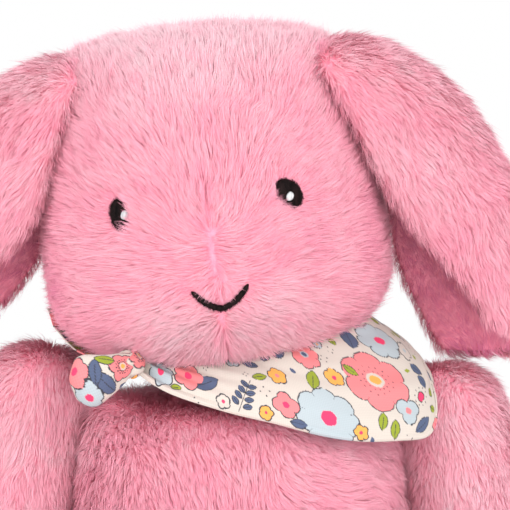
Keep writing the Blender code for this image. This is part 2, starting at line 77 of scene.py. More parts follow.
def smoothstep(low, high, x):
    t = np.clip((x - low) / (high - low), 0, 1)
    return t * t * (3 - 2 * t)


def wobble(p, size, seed, terms=9):
    """Smooth noise of a point, about -1 to 1, with features of the given size."""
    rng = np.random.default_rng(seed)
    total = np.zeros(len(p))
    for _ in range(terms):
        way = unit(rng.normal(size=3)) * rng.uniform(0.6, 1.7) * 2 * math.pi / size
        total += np.sin(p @ way + rng.uniform(0, 2 * math.pi))
    return total / math.sqrt(terms / 2) / 1.6


def wobble3(p, size, seed):
    return np.stack([wobble(p, size, seed + k) for k in range(3)], axis=1)


def linked(name, data):
    made = bpy.data.objects.new(name, data)
    SCENE.collection.objects.link(made)
    return made


def mesh_from(name, points, faces):
    mesh = bpy.data.meshes.new(name)
    mesh.from_pydata([tuple(p) for p in points], [], [tuple(f) for f in faces])
    mesh.update()
    return linked(name, mesh)


def array_mesh(name, points, corners, starts):
    """A mesh from arrays: points, each face's corners in turn, and where each face starts among them."""
    mesh = bpy.data.meshes.new(name)
    mesh.vertices.add(len(points))
    mesh.vertices.foreach_set("co", points.astype(np.float32).ravel())
    mesh.loops.add(corners.size)
    mesh.loops.foreach_set("vertex_index", corners.astype(np.int32).ravel())
    mesh.polygons.add(starts.size)
    mesh.polygons.foreach_set("loop_start", starts.astype(np.int32).ravel())
    mesh.update(calc_edges=True)
    return mesh


def add_uv(mesh, name, spots):
    mesh.uv_layers.new(name=name).data.foreach_set("uv", spots.astype(np.float32).ravel())


def smooth_shade(piece):
    piece.data.polygons.foreach_set("use_smooth", [True] * len(piece.data.polygons))


def even_normals(piece):
    work = bmesh.new()
    work.from_mesh(piece.data)
    bmesh.ops.recalc_face_normals(work, faces=work.faces)
    work.to_mesh(piece.data)
    work.free()


def thicken(piece, thickness):
    """Gives a sheet its thickness, in millimetres, half to each side."""
    solid = piece.modifiers.new("thickness", "SOLIDIFY")
    solid.thickness = thickness * MM
    solid.offset = 0


def grid_faces(rows, columns):
    """The quads of a grid of points that is laid out row by row."""
    index = np.arange(rows * columns).reshape(rows, columns)
    return np.stack([index[:-1, :-1], index[:-1, 1:], index[1:, 1:], index[1:, :-1]], axis=2).reshape(-1, 4)


def run_along(line):
    """The distance along a line of points, at each point."""
    return np.concatenate([[0], np.cumsum(np.linalg.norm(np.diff(line, axis=0), axis=1))])


# ---- materials
def new_material(name):
    made = bpy.data.materials.new(name)
    made.use_nodes = True
    nodes, links = made.node_tree.nodes, made.node_tree.links
    return made, nodes, links, nodes["Principled BSDF"]


def settle(node, **values):
    """Sets a node's own sockets by name."""
    for name, value in values.items():
        node.inputs[name.replace("_", " ")].default_value = value
    return node


def ramp(nodes, stops):
    node = nodes.new("ShaderNodeValToRGB")
    line = node.color_ramp
    while len(line.elements) < len(stops):
        line.elements.new(0.5)
    for element, (place, colour) in zip(line.elements, stops):
        element.position = place
        element.color = (*colour, 1)
    return node


def noise_tone(made, source, scale, detail, stops):
    """Colours a shader by fine noise and gives back the noise."""
    _, nodes, links, shader = made
    noise = settle(nodes.new("ShaderNodeTexNoise"), Scale=scale, Detail=detail)
    links.new(source, noise.inputs["Vector"])
    tone = ramp(nodes, stops)
    links.new(noise.outputs[0], tone.inputs[0])
    links.new(tone.outputs[0], shader.inputs["Base Color"])
    return noise


def bumped(made, height, strength, distance):
    _, nodes, links, shader = made
    bump = settle(nodes.new("ShaderNodeBump"), Strength=strength, Distance=distance)
    links.new(height, bump.inputs["Height"])
    links.new(bump.outputs[0], shader.inputs["Normal"])


# across the strip, low tones are painted shade and high tones painted light; the tone also changes at random from
# tuft to tuft
TIP_TONES = (
    (0.00, (0.42, 0.040, 0.130)),
    (0.25, (0.66, 0.150, 0.320)),
    (0.42, (0.80, 0.230, 0.390)),
    (0.55, (0.90, 0.340, 0.460)),
    (0.70, (0.93, 0.420, 0.525)),
    (0.85, (0.90, 0.510, 0.590)),
    (1.00, (0.83, 0.590, 0.640)),
)
# painted shade: the tones at the root, darker and redder than the tips, stand for the shade deep in the pile
ROOT_SHADE_TONES = (
    (0.00, (0.32, 0.022, 0.080)),
    (0.25, (0.60, 0.095, 0.220)),
    (0.50, (0.87, 0.270, 0.390)),
    (0.70, (0.92, 0.360, 0.460)),
    (1.00, (0.84, 0.510, 0.570)),
)


def fur_material():
    """Pile with painted shade at the root, which is deeper and redder; across the strip the tone goes from
    shadowed to pale.
    """
    made, nodes, links, shader = new_material("plush_pile")
    strip = nodes.new("ShaderNodeUVMap")
    strip.uv_map = "OFBake"
    split = nodes.new("ShaderNodeSeparateXYZ")
    links.new(strip.outputs[0], split.inputs[0])
    tip, root = ramp(nodes, TIP_TONES), ramp(nodes, ROOT_SHADE_TONES)
    links.new(split.outputs[0], tip.inputs[0])
    links.new(split.outputs[0], root.inputs[0])
    # the painted root shade fades into the tip tones three quarters of the way up each strand
    root_shade_fade = ramp(nodes, ((0.0, (0, 0, 0)), (0.75, (1, 1, 1))))
    links.new(split.outputs[1], root_shade_fade.inputs[0])
    mix = nodes.new("ShaderNodeMixRGB")
    links.new(root_shade_fade.outputs[0], mix.inputs[0])
    links.new(root.outputs[0], mix.inputs[1])
    links.new(tip.outputs[0], mix.inputs[2])
    links.new(mix.outputs[0], shader.inputs["Base Color"])
    settle(shader, Roughness=0.72, Specular_IOR_Level=0.25,
           Sheen_Weight=0.25, Sheen_Roughness=0.5, Sheen_Tint=(1.0, 0.72, 0.78, 1))
    return made


def backing_material():
    """The knitted backing under the pile."""
    made = new_material("plush_backing")
    place = made[1].new("ShaderNodeTexCoord").outputs["Object"]
    noise = noise_tone(made, place, 420, 6, ((0.3, (0.88, 0.27, 0.38)), (0.7, (0.96, 0.38, 0.49))))
    bumped(made, noise.outputs[0], 0.6, 0.001)
    settle(made[3], Roughness=0.9)
    return made[0]


def thread_material(name, dark, light, scale=900, rough=0.55, gloss=0.25):
    """Satin embroidery thread: fine lengthwise filaments with a soft gloss."""
    made = new_material(name)
    _, nodes, links, shader = made
    place = nodes.new("ShaderNodeTexCoord")
    stretch = settle(nodes.new("ShaderNodeMapping"), Scale=(1.0, 1.0, 0.12))
    links.new(place.outputs["Object"], stretch.inputs[0])
    noise = noise_tone(made, stretch.outputs[0], scale, 4, ((0.3, dark), (0.75, light)))
    bumped(made, noise.outputs[0], 0.5, 0.0002)
    settle(shader, Roughness=rough, Specular_IOR_Level=gloss)
    return made[0]


FUR = fur_material()
BACKING = backing_material()
BLACK = thread_material("black_satin_thread", (0.003, 0.002, 0.002), (0.022, 0.012, 0.012), 900, 0.7, 0.08)
SHINE = thread_material("grey_satin_thread", (0.40, 0.41, 0.43), (0.72, 0.73, 0.74))
PINK = thread_material("pink_sewing_thread", (0.55, 0.10, 0.18), (0.80, 0.28, 0.38), 1400, 0.6)


# ---- skins
def loose_parts(work):
    """The points of every connected part but the largest, such as the inner side of a shell."""
    seen, islands = set(), []
    for vertex in work.verts:
        if vertex.index in seen:
            continue
        island, todo = [], [vertex]
        seen.add(vertex.index)
        while todo:
            at = todo.pop()
            island.append(at)
            for other in (edge.other_vert(at) for edge in at.link_edges):
                if other.index not in seen:
                    seen.add(other.index)
                    todo.append(other)
        islands.append(island)
    islands.sort(key=len)
    return [vertex for island in islands[:-1] for vertex in island]


def skin(name, nodes, body, voxel, rounds=6, puffs=()):
    """Fuses the sewn panels and their filling into one stuffed skin, which stands for those CAD solids."""
    joined = bmesh.new()
    for node in nodes:
        joined.from_mesh(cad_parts[node].data)
    mesh = bpy.data.meshes.new(name)
    joined.to_mesh(mesh)
    joined.free()
    piece = linked(name, mesh)
    remesh = piece.modifiers.new("remesh", "REMESH")
    remesh.mode = "VOXEL"
    remesh.voxel_size = voxel
    relax = piece.modifiers.new("relax", "SMOOTH")
    relax.factor = 0.5
    relax.iterations = rounds
    bpy.context.view_layer.update()
    done = bpy.data.meshes.new_from_object(piece.evaluated_get(bpy.context.evaluated_depsgraph_get()))
    piece.modifiers.clear()
    piece.data = done
    work = bmesh.new()
    work.from_mesh(done)
    work.verts.ensure_lookup_table()
    bmesh.ops.delete(work, geom=loose_parts(work), context="VERTS")
    for vertex in work.verts:
        for centre, radius, push in puffs:
            far = (vertex.co - Vector(centre) * MM).length
            vertex.co += Vector(push) * MM * math.exp(-(far / (radius * MM)) ** 2)
        vertex.co.z = max(vertex.co.z, SKIN_FLOOR)
    work.to_mesh(done)
    work.free()
    done.materials.clear()
    done.materials.append(BACKING)
    smooth_shade(piece)
    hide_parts(*nodes)
    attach(piece, body)
    return piece


def arrays(piece):
    mesh = piece.data
    mesh.calc_loop_triangles()
    points = np.zeros(len(mesh.vertices) * 3)
    mesh.vertices.foreach_get("co", points)
    normals = np.zeros(len(mesh.vertices) * 3)
    mesh.vertices.foreach_get("normal", normals)
    triangles = np.zeros(len(mesh.loop_triangles) * 3, np.int32)
    mesh.loop_triangles.foreach_get("vertices", triangles)
    return points.reshape(-1, 3), normals.reshape(-1, 3), triangles.reshape(-1, 3)


# ---- fur
TONE_COLUMNS = 24  # steps of tone across the strip that the pile is coloured from
STRANDS_A_PIECE = 60000
ROOTED = 0.4  # how deep a strand starts under the skin, in millimetres
SMALL_TUFT, LARGE_TUFT, WAVE_OF_PILE = 2.6 * MM, 7.0 * MM, 22 * MM
GUARD_HAIRS = 0.12  # the share of longer strands that stand out


def clumps(p, size, seed):
    """Which tuft of the given size each point belongs to."""
    warped = p + wobble3(p, size * 2.3, seed) * size * 0.45
    cell = np.floor(warped / size + 1000).astype(np.int64)
    key = (cell[:, 0] * 4096 + cell[:, 1]) * 4096 + cell[:, 2]
    return np.unique(key, return_inverse=True)[1]


def averaged(values, group):
    """Each strand's tuft average."""
    count = np.bincount(group)
    return np.stack([np.bincount(group, values[:, k]) / count for k in range(3)], axis=1)[group]


# how the pile lies at each root: its direction, its density from 0 to 1, its length in millimetres, how far it
# stands up, its tone, and how tightly its tips gather
Lie = namedtuple("Lie", "flow density length lift tone gather", defaults=(0.26,))


def strands(piece, seed, per_mm2, field):
    """Roots on a skin's surface and the curve of each strand. The field says how the pile lies."""
    points, normals, triangles = arrays(piece)
    rng = np.random.default_rng(seed)
    a, b, c = (points[triangles[:, k]] for k in range(3))
    size = np.linalg.norm(np.cross(b - a, c - a), axis=1) / 2
    count = int(size.sum() / MM ** 2 * per_mm2)
    pick = rng.choice(len(size), count, p=size / size.sum())
    u, v = rng.random((2, count, 1))
    over = u + v > 1
    u, v = np.where(over, 1 - u, u), np.where(over, 1 - v, v)
    w = 1 - u - v
    na, nb, nc = (normals[triangles[pick, k]] for k in range(3))
    root = a[pick] * w + b[pick] * u + c[pick] * v
    normal = unit(na * w + nb * u + nc * v)
    keep = rng.random(count) < field(root, normal).density
    root, normal = root[keep], normal[keep]
    count = len(root)
    lie = field(root, normal)

    flow = lie.flow + 0.22 * wobble3(root, WAVE_OF_PILE, seed + 20) + 0.15 * wobble3(root, 9 * MM, seed + 30)
    small, large = clumps(root, SMALL_TUFT, seed + 40), clumps(root, LARGE_TUFT, seed + 50)
    small_count, large_count = small.max() + 1, large.max() + 1
    stray = rng.normal(size=(small_count, 3))[small] * 0.10 + rng.normal(size=(large_count, 3))[large] * 0.09
    flow = flow + stray + rng.normal(size=(count, 3)) * 0.07
    flow = unit(flow - (flow * normal).sum(1)[:, None] * normal)
    length = lie.length * MM * (1 + 0.10 * rng.normal(size=small_count)[small])
    length = length * rng.uniform(0.72, 1.12, count)
    guard = rng.random(count) < GUARD_HAIRS
    length = np.where(guard, length * 1.22, length)
    lift = lie.lift * (1 + 0.15 * rng.normal(size=small_count)[small]) + 0.08 * rng.normal(size=count)
    lift = np.clip(np.where(guard, lift + 0.32, lift), 0.06, 1.6)[:, None]
    early = unit(normal * (lift * 1.5 + 0.15) + flow)
    late = unit(normal * lift * 0.55 + flow)
    middle = root + early * length[:, None] * 0.5
    tip = middle + late * length[:, None] * 0.5
    tip = tip + (averaged(tip, small) - tip) * lie.gather * rng.uniform(0.5, 1.0, (count, 1))
    middle = middle + (averaged(middle, small) - middle) * lie.gather * 0.35
    tone = lie.tone + 0.030 * rng.normal(size=small_count)[small] + 0.025 * rng.normal(size=large_count)[large]
    tone = tone + 0.030 * rng.normal(size=count) + 0.03 * wobble(root, WAVE_OF_PILE, seed + 60)
    return root, normal, middle, tip, tone, rng


def ribbons(name, body, made, width, finish=FUR):
    """Meshes of thin tapered ribbons, one for each strand, in pieces of a handy size."""
    root, normal, middle, tip, tone, rng = made
    for line in (middle, tip):
        line[:, 2] = np.maximum(line[:, 2], PILE_FLOOR)
    count = len(root)
    along = unit(tip - root)
    side = unit(np.cross(along, normal) + 1e-9)
    facing = np.cross(side, along)
    roll = rng.uniform(-0.95, 0.95, (count, 1))
    across = side * np.cos(roll) + facing * np.sin(roll)
    facing = np.cross(across, along)
    half = across * (width * MM * rng.uniform(0.7, 1.2, (count, 1)) / 2)
    start = root - normal * ROOTED * MM
    points = np.stack([start - half, start + half, middle - half * 0.85, middle + half * 0.85, tip], axis=1)
    shade = unit(normal * 0.90 + facing * 0.22)
    shade_tip = unit(normal * 0.85 + facing * 0.20 + along * 0.15)
    column = np.clip(np.floor(tone * TONE_COLUMNS), 0, TONE_COLUMNS - 1) + 0.5
    corner_u = np.array([-0.42, 0.42, 0.42, -0.42, -0.42, 0.42, 0.0])
    corner_v = np.array([0.0, 0.0, 0.5, 0.5, 0.5, 0.5, 1.0])
    corner_of = np.array([0, 1, 3, 2, 2, 3, 4])
    groups = max(1, math.ceil(count / STRANDS_A_PIECE))
    order = np.argsort(root[:, 0], kind="stable")
    for number, members in enumerate(np.array_split(order, groups)):
        n = len(members)
        corners = np.arange(n)[:, None] * 5 + corner_of[None]
        starts = np.arange(n)[:, None] * 7 + np.array([0, 4])[None]
        mesh = array_mesh(f"{name}_{number + 1}", points[members].reshape(-1, 3), corners, starts)
        u = (column[members][:, None] + corner_u[None]) / TONE_COLUMNS
        v = np.broadcast_to(corner_v[None], u.shape)
        add_uv(mesh, "OFBake", np.stack([u, v], axis=2))
        loop_normals = np.repeat(shade[members][:, None], 7, axis=1)
        loop_normals[:, 6] = shade_tip[members]
        mesh.polygons.foreach_set("use_smooth", [True] * (n * 2))
        mesh.normals_split_custom_set(loop_normals.reshape(-1, 3))
        mesh.materials.append(finish)
        piece = linked(mesh.name, mesh)
        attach(piece, body)


RATE = 1.0
PILE = {  # strands to the square millimetre, and the width of one in millimetres
    "head": (8.5, 0.165), "ear": (5.6, 0.18), "torso": (7.0, 0.18),
    "arm": (5.4, 0.18), "leg": (4.2, 0.21), "tail": (4.0, 0.22),
}


def pile(part, skin_piece, body, seed, field, side=""):
    density, width = PILE[part]
    name = f"{part}_{side}_fur" if side else f"{part}_fur"
    ribbons(name, body, strands(skin_piece, seed, density * RATE, field), width / math.sqrt(RATE))


def away(p, n, centre):
    """Along the surface, away from a centre."""
    v = p - centre
    return unit(v - (v * n).sum(1)[:, None] * n)


def burst(centre, length, lift, tone):
    """Pile that runs away from a centre, such as a tail's or the loose fibres of embroidery."""
    return lambda p, n: Lie(away(p, n, centre), 1.0, length, lift, tone)


# ---- the head
HEAD_NODES = ("face_panel_left", "face_panel_right", "head_back_left", "head_back_right", "head_filling")


def head_puff(centre, radius, push):
    """A soft bulge of the head or an ear root, given in the head's frame in millimetres."""
    return head_to_world(np.array(centre) * MM) / MM, radius, HEAD_TURN @ np.array(push)


HEAD_PUFFS = [head_puff((40, -2, 104), 15, (4.4, 0, 5.2)), head_puff((-36, -2, 107), 18, (-4.4, 0, 5.4))]
head_skin = skin("head_plush", HEAD_NODES, "head", 2.6 * MM, puffs=HEAD_PUFFS)
head_points, _, head_triangles = arrays(head_skin)
head_tree = BVHTree.FromPolygons(head_points.tolist(), head_triangles.tolist())


def face_at(x, z):
    """The point and normal of the face's surface at a place in the head's frame, given in millimetres."""
    origin = head_to_world(np.array([x, -120.0, z]) * MM)
    place, normal, _, _ = head_tree.ray_cast(Vector(origin), Vector(HEAD_TURN @ np.array([0.0, 1.0, 0.0])))
    return np.array(place), np.array(normal)


EYES = {
    "left": {"centre": (26.6, 62.9), "half": (3.9, 5.3), "lean": 33, "glint": (-0.4, -1.0), "shine": (1.25, 1.6)},
    "right": {"centre": (-28.0, 62.8), "half": (3.1, 5.4), "lean": 4, "glint": (2.2, -0.2), "shine": (1.05, 1.6)},
}
MOUTH_CENTRE = (1.2, 36.4)
MOUTH_HALF = 8.8
MOUTH_DROP = 6.0


def mouth_line(s):
    """The smile in the head's frame, in millimetres, for s from -1 to 1."""
    s = np.asarray(s, float)
    return MOUTH_CENTRE[0] + MOUTH_HALF * s, MOUTH_CENTRE[1] - MOUTH_DROP * (1 - np.abs(s) ** 1.8)


NOSE = np.array(face_at(MOUTH_CENTRE[0], MOUTH_CENTRE[1] + 1.5)[0])


def eye_distance(h, eye):
    """1 on the rim of an eye, less inside, in the head's frame in millimetres."""
    lean = math.radians(eye["lean"])
    dx, dz = h[:, 0] - eye["centre"][0], h[:, 2] - eye["centre"][1]
    along = dx * math.sin(-lean) + dz * math.cos(lean)
    across = dx * math.cos(lean) + dz * math.sin(lean)
    return np.hypot(across / eye["half"][0], along / eye["half"][1]) + np.where(h[:, 1] > 0, 50.0, 0.0)


def mouth_distance(h):
    s = np.linspace(-1, 1, 25)
    x, z = mouth_line(s)
    d = np.hypot(h[:, 0][:, None] - x[None], h[:, 2][:, None] - z[None]).min(axis=1)
    return d + np.where(h[:, 1] > 0, 50.0, 0.0)


def head_field(p, n):
    h = world_to_head(p) / MM
    x, y, z = h.T
    front = 1 - smoothstep(-4, 22, y)
    bridge = np.stack([0 * x + 0.4, 0 * x - 36, np.clip(z, 38, 50)], axis=1)
    flow = away(p, n, NOSE + np.array([0, 12 * MM, 0])) * 0.45 + away(p, n, head_to_world(bridge * MM)) * 0.55
    flow = flow * front[:, None]
    down = np.array([0.0, 0.25, -1.0])
    flow = flow + (1 - front)[:, None] * unit(down - (n @ down)[:, None] * n)
    from_seam = np.abs(x - 0.3)
    parting = np.exp(-(from_seam / 3.0) ** 2) * (y < 0) * smoothstep(78, 60, z)
    flow = flow + HEAD_TURN[:, 0][None] * (np.sign(x - 0.3) * parting * 0.35)[:, None]
    density = 0.42 + 0.58 * front
    length = 6.6 - 1.6 * np.exp(-((x - 1.2) ** 2 + (z - 38) ** 2) / 11 ** 2) * (y < 0)
    lift = 0.52
    # painted light and shade in the head's pile: the crown is paler as painted light, and the parting down the
    # face's middle seam is darker as painted shade
    tone = 0.68 + 0.20 * smoothstep(84, 116, z) - 0.09 * np.exp(-(from_seam / 1.2) ** 2) * parting
    # painted shade on the lower sides of the head
    tone = tone - 0.10 * smoothstep(38, 54, np.abs(x)) * smoothstep(95, 60, z)
    # painted light on the chin and lower muzzle
    tone = tone + 0.17 * smoothstep(38, 24, z) * smoothstep(40, 14, np.abs(x)) * front
    # painted light on the middle of the forehead
    tone = tone + 0.05 * smoothstep(66, 82, z) * smoothstep(34, 12, np.abs(x)) * front
    for eye in EYES.values():
        e = eye_distance(h, eye)
        density = density * (e > 0.90)
        near = smoothstep(2.3, 1.0, e)
        length = length * (1 - 0.42 * near)
        lift = lift * (1 - 0.35 * near)
        # painted shade in the dimple round each eye
        tone = tone - 0.07 * near
        centre = head_to_world(np.array([eye["centre"][0], -50, eye["centre"][1]]) * MM)
        flow = flow + away(p, n, centre) * (near * 0.55)[:, None]
    m = mouth_distance(h)
    density = density * np.where(m > 0.75, 1.0, 0.16)
    near = smoothstep(5.0, 1.2, m)
    length = length * (1 - 0.5 * near)
    lift = lift * (1 - 0.3 * near)
    return Lie(unit(flow), density, length, lift, tone)


pile("head", head_skin, "head", 11, head_field)


def stitched_patch(name, centre, half, lean, low, high, finish, node, pitch=0.55, rings=16, around=56):
    """A domed patch of satin stitches on the face, with each thread a fine ridge."""
    lean = math.radians(lean)
    points, faces = [], []
    for i in range(rings + 1):
        for j in range(around if i else 1):
            r, t = i / rings, 2 * math.pi * j / around
            across, along = half[0] * r * math.cos(t), half[1] * r * math.sin(t)
            x = centre[0] + across * math.cos(lean) - along * math.sin(lean)
            z = centre[1] + across * math.sin(lean) + along * math.cos(lean)
            place, normal = face_at(x, z)
            ridge = 0.13 * abs(math.sin(math.pi * across / pitch)) * (1 - r ** 4)
            ragged = 1 + 0.03 * math.sin(j * 2.9) * (i == rings)
            height = low + (high - low) * math.sqrt(max(0.0, 1 - r ** 2.6)) + ridge
            points.append(place + normal * height * MM * ragged)
    for j in range(around):
        faces.append((0, 1 + j, 1 + (j + 1) % around))
    for i in range(1, rings):
        inner, outer = 1 + (i - 1) * around, 1 + i * around
        for j in range(around):
            k = (j + 1) % around
            faces.append((inner + j, outer + j, outer + k, inner + k))
    piece = mesh_from(name, points, faces)
    even_normals(piece)
    outward = np.array(piece.data.polygons[0].normal)
    if outward @ (HEAD_TURN @ np.array([0.0, -1.0, 0.0])) < 0:
        piece.data.flip_normals()
    piece.data.materials.append(finish)
    smooth_shade(piece)
    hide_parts(node)
    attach(piece, "head")
    return piece


for side, eye in EYES.items():
    patch = stitched_patch(f"eye_{side}_stitches", eye["centre"], eye["half"], eye["lean"], 0.2, 2.2, BLACK,
                           f"eye_{side}")
    middle_of_eye = np.array(face_at(*eye["centre"])[0])
    fuzz = strands(patch, 81, 9.0, burst(middle_of_eye, 0.95, 0.7, 0.5))
    ribbons(f"eye_{side}_fuzz", "head", fuzz, 0.10, BLACK)
    glint = (eye["centre"][0] + eye["glint"][0], eye["centre"][1] + eye["glint"][1])
    stitched_patch(f"eye_{side}_glint", glint, eye["shine"], -20, 1.6, 2.75, SHINE,
                   f"eye_highlight_{side}", 0.45, 8, 28)


def smile():
    """A line of back stitches that follows the smile."""
    turns, steps = 12, 90
    points, faces = [], []
    for i in range(steps + 1):
        s = -1 + 2 * i / steps
        x, z = mouth_line(s)
        x2, z2 = mouth_line(min(s + 0.02, 1.0))
        x1, z1 = mouth_line(max(s - 0.02, -1.0))
        place, normal = face_at(float(x), float(z))
        ahead, behind = face_at(float(x2), float(z2))[0], face_at(float(x1), float(z1))[0]
        along = unit(ahead - behind)
        side = unit(np.cross(normal, along))
        stitch = abs(math.sin(math.pi * i / 7.5))
        end = math.sqrt(max(0.02, 1 - abs(s) ** 8))
        wide, tall = (0.86 + 0.20 * stitch) * end, (0.75 + 0.22 * stitch) * end
        middle = place + normal * 1.7 * MM
        for j in range(turns):
            t = 2 * math.pi * j / turns
            points.append(middle + (side * math.cos(t) * wide + normal * math.sin(t) * tall) * MM)
    for i in range(steps):
        for j in range(turns):
            k = (j + 1) % turns
            faces.append((i * turns + j, i * turns + k, (i + 1) * turns + k, (i + 1) * turns + j))
    faces.append(tuple(reversed(range(turns))))
    faces.append(tuple(range(steps * turns, (steps + 1) * turns)))
    piece = mesh_from("mouth_stitches", points, faces)
    even_normals(piece)
    piece.data.materials.append(BLACK)
    smooth_shade(piece)
    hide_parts("mouth_stitching")
    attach(piece, "head")
    fuzz = strands(piece, 83, 7.0, burst(NOSE + np.array([0, 0, 20 * MM]), 0.9, 0.7, 0.5))
    ribbons("mouth_fuzz", "head", fuzz, 0.10, BLACK)


smile()


# ---- ears
def node_tree(node):
    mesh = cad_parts[node].data
    return BVHTree.FromPolygons([v.co for v in mesh.vertices], [tuple(f.vertices) for f in mesh.polygons])


def distance_to(tree, p):
    return np.array([tree.find_nearest(Vector(q))[3] for q in p])


def ear_field(side):
    low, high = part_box(f"ear_{side}_outer")
    sign = 1 if side == "left" else -1
    tip = np.array([high[0] if sign > 0 else low[0], 0.0, low[2]]) + np.array([0, 0, -12 * MM])
    trees = {layer: node_tree(f"ear_{side}_{layer}") for layer in ("outer", "inner")}

    def field(p, n):
        flow = unit(tip - p)
        gap = distance_to(trees["outer"], p) - distance_to(trees["inner"], p)
        inside = smoothstep(-0.8 * MM, 0.8 * MM, gap)
        # painted shade darkens the ear's inner layer, and painted light makes the outer side paler where it faces
        # up
        tone = 0.70 - 0.26 * inside + 0.10 * smoothstep(0.3, 0.95, n[:, 2]) * (1 - inside)
        return Lie(flow, 1 - 0.35 * inside, 6.4 - 2.2 * inside, 0.50, tone)

    return field


EAR_PUFFS = {
    "left": [head_puff((43, 0, 100), 16, (-15, 0, 1.0)), head_puff((60, 0, 103), 12, (0, 0, 1.5))],
    "right": [head_puff((-39, 0, 105), 16, (15, 0, 1.5)), head_puff((-56, 0, 108), 14, (0, 0, 1.5))],
}
for side in ("left", "right"):
    body = f"ear_{side}"
    ear = skin(f"{body}_plush", (f"{body}_outer", f"{body}_inner"), body, 2.0 * MM, 4, EAR_PUFFS[side])
    pile("ear", ear, body, 21 if side == "left" else 31, ear_field(side), side)

# ---- torso, limbs and tail
TORSO_NODES = ("torso_front", "torso_back", "seat_panel", "torso_filling", "pellet_bag")
TORSO_PUFFS = [((-46, -8, 100), 15, (-3.0, -1.5, 5.5)), ((46, -8, 100), 14, (2.5, -1.0, 3.0))]
torso_skin = skin("torso_plush", TORSO_NODES, "torso", 2.8 * MM, puffs=TORSO_PUFFS)
HEM = np.array([
    (-36, -37, 120.5), (-20, -44.5, 116), (2, -49.5, 109), (20, -50, 103.5), (36, -47, 99.5), (50, -40.5, 97),
    (60, -32, 97.5), (65.5, -27, 101),
], float) * MM


def hem_height(x):
    return np.interp(x, HEM[:, 0], HEM[:, 2])


def torso_field(p, n):
    x, y, z = (p / MM).T
    front = (y < 0).astype(float)
    out = p * np.array([1.0, 1.0, 0.0])
    flow = unit(out - (out * n).sum(1)[:, None] * n + 1e-9) * smoothstep(0.6, 0.95, n[:, 2])[:, None]
    down = np.array([0.0, 0.0, -1.0])
    flow = flow + unit(down - (n @ down)[:, None] * n + 1e-9)
    lean = np.interp(x, (-50, -25, 0, 30, 50), (0.5, 0.9, 0.1, 0.9, 0.4))
    rise = np.interp(x, (-50, 5, 35, 50), (0.0, 0.2, 1.0, 0.6)) * smoothstep(40, 75, z)
    flow = flow + np.stack([lean, 0 * lean, rise], axis=1) * front[:, None] * smoothstep(30, 70, z)[:, None]
    covered = front * smoothstep(-1.0, 3.0, z - hem_height(p[:, 0]) / MM) * (np.abs(x) < 66)
    hidden = np.maximum(covered, smoothstep(0.55, 0.85, n[:, 2]) * 0.7)
    under = smoothstep(-0.5, -0.9, n[:, 2])
    density = (0.5 + 0.5 * front) * (1 - 0.55 * hidden) * (1 - 0.8 * under)
    length = 6.8 * (1 - 0.35 * covered) * (1 - 0.6 * under)
    lift = 0.62 * (1 - 0.80 * covered) * (1 - 0.8 * under)
    return Lie(unit(flow), density, length, lift, tone=0.68, gather=0.36)


pile("torso", torso_skin, "torso", 41, torso_field)


def limb_field(pole):
    """Pile that runs from a pole to the end of a limb, short and flat where the limb rests on the floor."""
    def field(p, n):
        down = smoothstep(-0.55, -0.95, n[:, 2]) * smoothstep(14 * MM, 4 * MM, p[:, 2])
        # painted light: the limbs' pile, at tone 0.77, is paler than the torso's 0.68 to make up for the shade
        # that falls on the limbs
        return Lie(away(p, n, pole), 1 - 0.6 * down, 6.2 * (1 - 0.5 * down), 0.55 * (1 - 0.7 * down), 0.77)
    return field


for side, sign in (("left", 1), ("right", -1)):
    body = f"arm_{side}"
    shoulder = ((sign * 53, -5, 111), 13, (-sign * 3.5, 0, 2.5))
    nodes = [f"{body}_{part}" for part in ("front", "back", "filling")]
    arm = skin(f"{body}_plush", nodes, body, 2.6 * MM, puffs=[shoulder])
    low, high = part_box(f"{body}_front")
    inner = low[0] if sign > 0 else high[0]
    pole = np.array([inner + sign * 12 * MM, 4 * MM, high[2]])
    pile("arm", arm, body, 51 + sign, limb_field(pole), side)
    body = f"leg_{side}"
    leg = skin(f"{body}_plush", [f"{body}_{part}" for part in ("upper", "lower", "filling")], body, 2.6 * MM)
    low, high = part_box(f"{body}_upper")
    pole = np.array([sign * 38 * MM, high[1], (low[2] + high[2]) / 2])
    pile("leg", leg, body, 61 + sign, limb_field(pole), side)

tail = skin("tail_plush", ("tail_cover", "tail_filling"), "torso", 2.0 * MM)
low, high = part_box("tail_cover")
tail_pole = np.array([0.0, low[1], (low[2] + high[2]) / 2])
pile("tail", tail, "torso", 71, burst(tail_pole, 7.5, 1.0, 0.68))

# ---- kerchief
CLOTH_THICK, NARROWEST = 0.45, 10.1  # the cotton, and the least flat side stated for a sheet, in millimetres
FRONT_SHARE = 0.6  # how much of the band's length lies in front, up to the shoulder
CREAM, CORAL, ROSE = (0.60, 0.535, 0.478), (0.78, 0.22, 0.23), (0.78, 0.05, 0.14)
MIST, SLATE, OLIVE = (0.43, 0.49, 0.52), (0.085, 0.11, 0.19), (0.28, 0.33, 0.035)
AMBER, INK = (0.80, 0.38, 0.09), (0.045, 0.045, 0.055)


Motif = namedtuple(
    "Motif", "kind at size colour turn petals heart ring seeds wave count grain",
    defaults=(0.0, 0, None, None, False, 0.2, 0, 0.28),
)


def flower(at, size, petals, colour, heart, ring=None, turn=0.0, seeds=False, wave=0.2):
    return Motif("flower", at, size, colour, turn, petals, heart, ring, seeds, wave)


def leaf(at, size, colour, turn):
    return Motif("leaf", at, size, colour, turn)


def dots(at, size, count, colour=INK, grain=0.28):
    return Motif("dots", at, size, colour, count=count, grain=grain)


